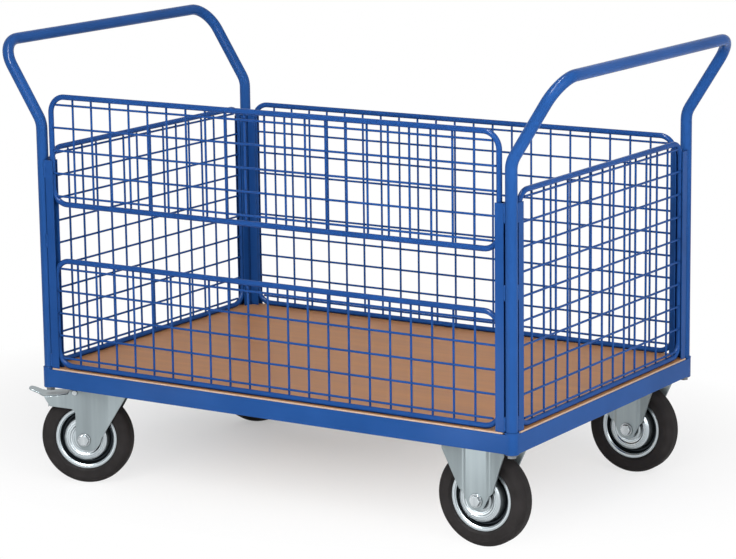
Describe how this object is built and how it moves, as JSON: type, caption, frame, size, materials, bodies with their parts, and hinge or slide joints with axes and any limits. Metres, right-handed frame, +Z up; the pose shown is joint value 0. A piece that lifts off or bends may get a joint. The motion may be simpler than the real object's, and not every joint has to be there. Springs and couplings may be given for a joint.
{
  "type": "mesh-sided platform trolley",
  "caption": "Platform trolley with lift-out wire mesh walls, a front wall in two halves, bent-tube push handles at the ends, and braked swivel and fixed casters.",
  "frame": {"origin": "on the floor under the centre of the deck", "axes": "+X along the deck towards the fixed casters, +Y towards the one-piece rear panel, +Z up"},
  "size_m": [1.413, 0.8136, 0.9875],
  "materials": {
    "blue_paint": "glossy blue powder coat",
    "zinc": "bright zinc plating",
    "board": "beech decor, fine grain along the length",
    "rubber": "matt solid rubber",
    "bearing_steel": "ground steel"
  },
  "bodies": {
    "chassis": {"caster_bolts": "zinc", "caster_nuts": "zinc", "corner_sockets": "blue_paint", "deck_board": "board", "front_rail": "blue_paint", "handle_bolts": "zinc", "handle_leg_plugs": "zinc", "handle_washers": "zinc", "left_caster_beam": "blue_paint", "left_front_caster_plate": "zinc", "left_front_channels": "blue_paint", "left_front_king_pin": "zinc", "left_handle_bow": "blue_paint", "left_rail": "blue_paint", "left_rear_caster_plate": "zinc", "left_rear_channels": "blue_paint", "left_rear_king_pin": "zinc", "middle_bearer": "blue_paint", "rear_rail": "blue_paint", "right_axle_sleeves": "zinc", "right_caster_beam": "blue_paint", "right_front_axle_bolt": "zinc", "right_front_channels": "blue_paint", "right_front_fork": "zinc", "right_handle_bow": "blue_paint", "right_rail": "blue_paint", "right_rear_axle_bolt": "zinc", "right_rear_channels": "blue_paint", "right_rear_fork": "zinc"},
    "left_end_wall": {"left_end_frame": "blue_paint", "left_end_wires": "blue_paint"},
    "right_end_wall": {"right_end_frame": "blue_paint", "right_end_wires": "blue_paint"},
    "rear_panel": {"rear_panel_frame": "blue_paint", "rear_panel_wires": "blue_paint"},
    "lower_panel": {"lower_panel_frame": "blue_paint", "lower_panel_wires": "blue_paint"},
    "upper_panel": {"upper_panel_frame": "blue_paint", "upper_panel_wires": "blue_paint"},
    "left_front_swivel": {"left_front_fork": "zinc", "left_front_balls": "bearing_steel", "left_front_pedal_pin": "zinc", "left_front_axle_bolt": "zinc", "left_front_axle_sleeve": "zinc"},
    "left_front_pedal": {"left_front_brake_pedal": "zinc"},
    "left_rear_swivel": {"left_rear_fork": "zinc", "left_rear_balls": "bearing_steel", "left_rear_pedal_pin": "zinc", "left_rear_axle_bolt": "zinc", "left_rear_axle_sleeve": "zinc"},
    "left_rear_pedal": {"left_rear_brake_pedal": "zinc"},
    "left_front_wheel": {"left_front_tyre": "rubber", "left_front_wheel_body": "zinc"},
    "left_rear_wheel": {"left_rear_tyre": "rubber", "left_rear_wheel_body": "zinc"},
    "right_front_wheel": {"right_front_tyre": "rubber", "right_front_wheel_body": "zinc"},
    "right_rear_wheel": {"right_rear_tyre": "rubber", "right_rear_wheel_body": "zinc"}
  },
  "joints": [
    {"name": "left_end_lift", "type": "slide", "parent": "chassis", "child": "left_end_wall", "axis": [0, 0, 1], "range_m": [0, 0.47]},
    {"name": "right_end_lift", "type": "slide", "parent": "chassis", "child": "right_end_wall", "axis": [0, 0, 1], "range_m": [0, 0.47]},
    {"name": "rear_panel_lift", "type": "slide", "parent": "chassis", "child": "rear_panel", "axis": [0, 0, 1], "range_m": [0, 0.47]},
    {"name": "lower_panel_lift", "type": "slide", "parent": "chassis", "child": "lower_panel", "axis": [0, 0, 1], "range_m": [0, 0.47]},
    {"name": "upper_panel_lift", "type": "slide", "parent": "lower_panel", "child": "upper_panel", "axis": [0, 0, 1], "range_m": [-0.113, 0.11]},
    {"name": "left_front_swivel_turn", "type": "hinge", "parent": "chassis", "child": "left_front_swivel", "pos_m": [-0.472, -0.33, 0.1025], "axis": [0, 0, 1], "continuous": true},
    {"name": "left_front_pedal_press", "type": "hinge", "parent": "left_front_swivel", "child": "left_front_pedal", "pos_m": [-0.53113, -0.35449, 0.209], "axis": [0.3827, -0.9239, 0], "range_deg": [0, 4.5]},
    {"name": "left_front_wheel_spin", "type": "hinge", "parent": "left_front_swivel", "child": "left_front_wheel", "pos_m": [-0.5145, -0.3476, 0.1025], "axis": [0.3827, -0.9239, 0], "continuous": true},
    {"name": "left_rear_swivel_turn", "type": "hinge", "parent": "chassis", "child": "left_rear_swivel", "pos_m": [-0.472, 0.33, 0.1025], "axis": [0, 0, 1], "continuous": true},
    {"name": "left_rear_pedal_press", "type": "hinge", "parent": "left_rear_swivel", "child": "left_rear_pedal", "pos_m": [-0.504, 0.27457, 0.209], "axis": [0.866, -0.5, 0], "range_deg": [0, 4.5]},
    {"name": "left_rear_wheel_spin", "type": "hinge", "parent": "left_rear_swivel", "child": "left_rear_wheel", "pos_m": [-0.495, 0.29016, 0.1025], "axis": [0.866, -0.5, 0], "continuous": true},
    {"name": "right_front_wheel_spin", "type": "hinge", "parent": "chassis", "child": "right_front_wheel", "pos_m": [0.491, -0.33, 0.1025], "axis": [0, -1, 0], "continuous": true},
    {"name": "right_rear_wheel_spin", "type": "hinge", "parent": "chassis", "child": "right_rear_wheel", "pos_m": [0.491, 0.33, 0.1025], "axis": [0, -1, 0], "continuous": true}
  ]
}
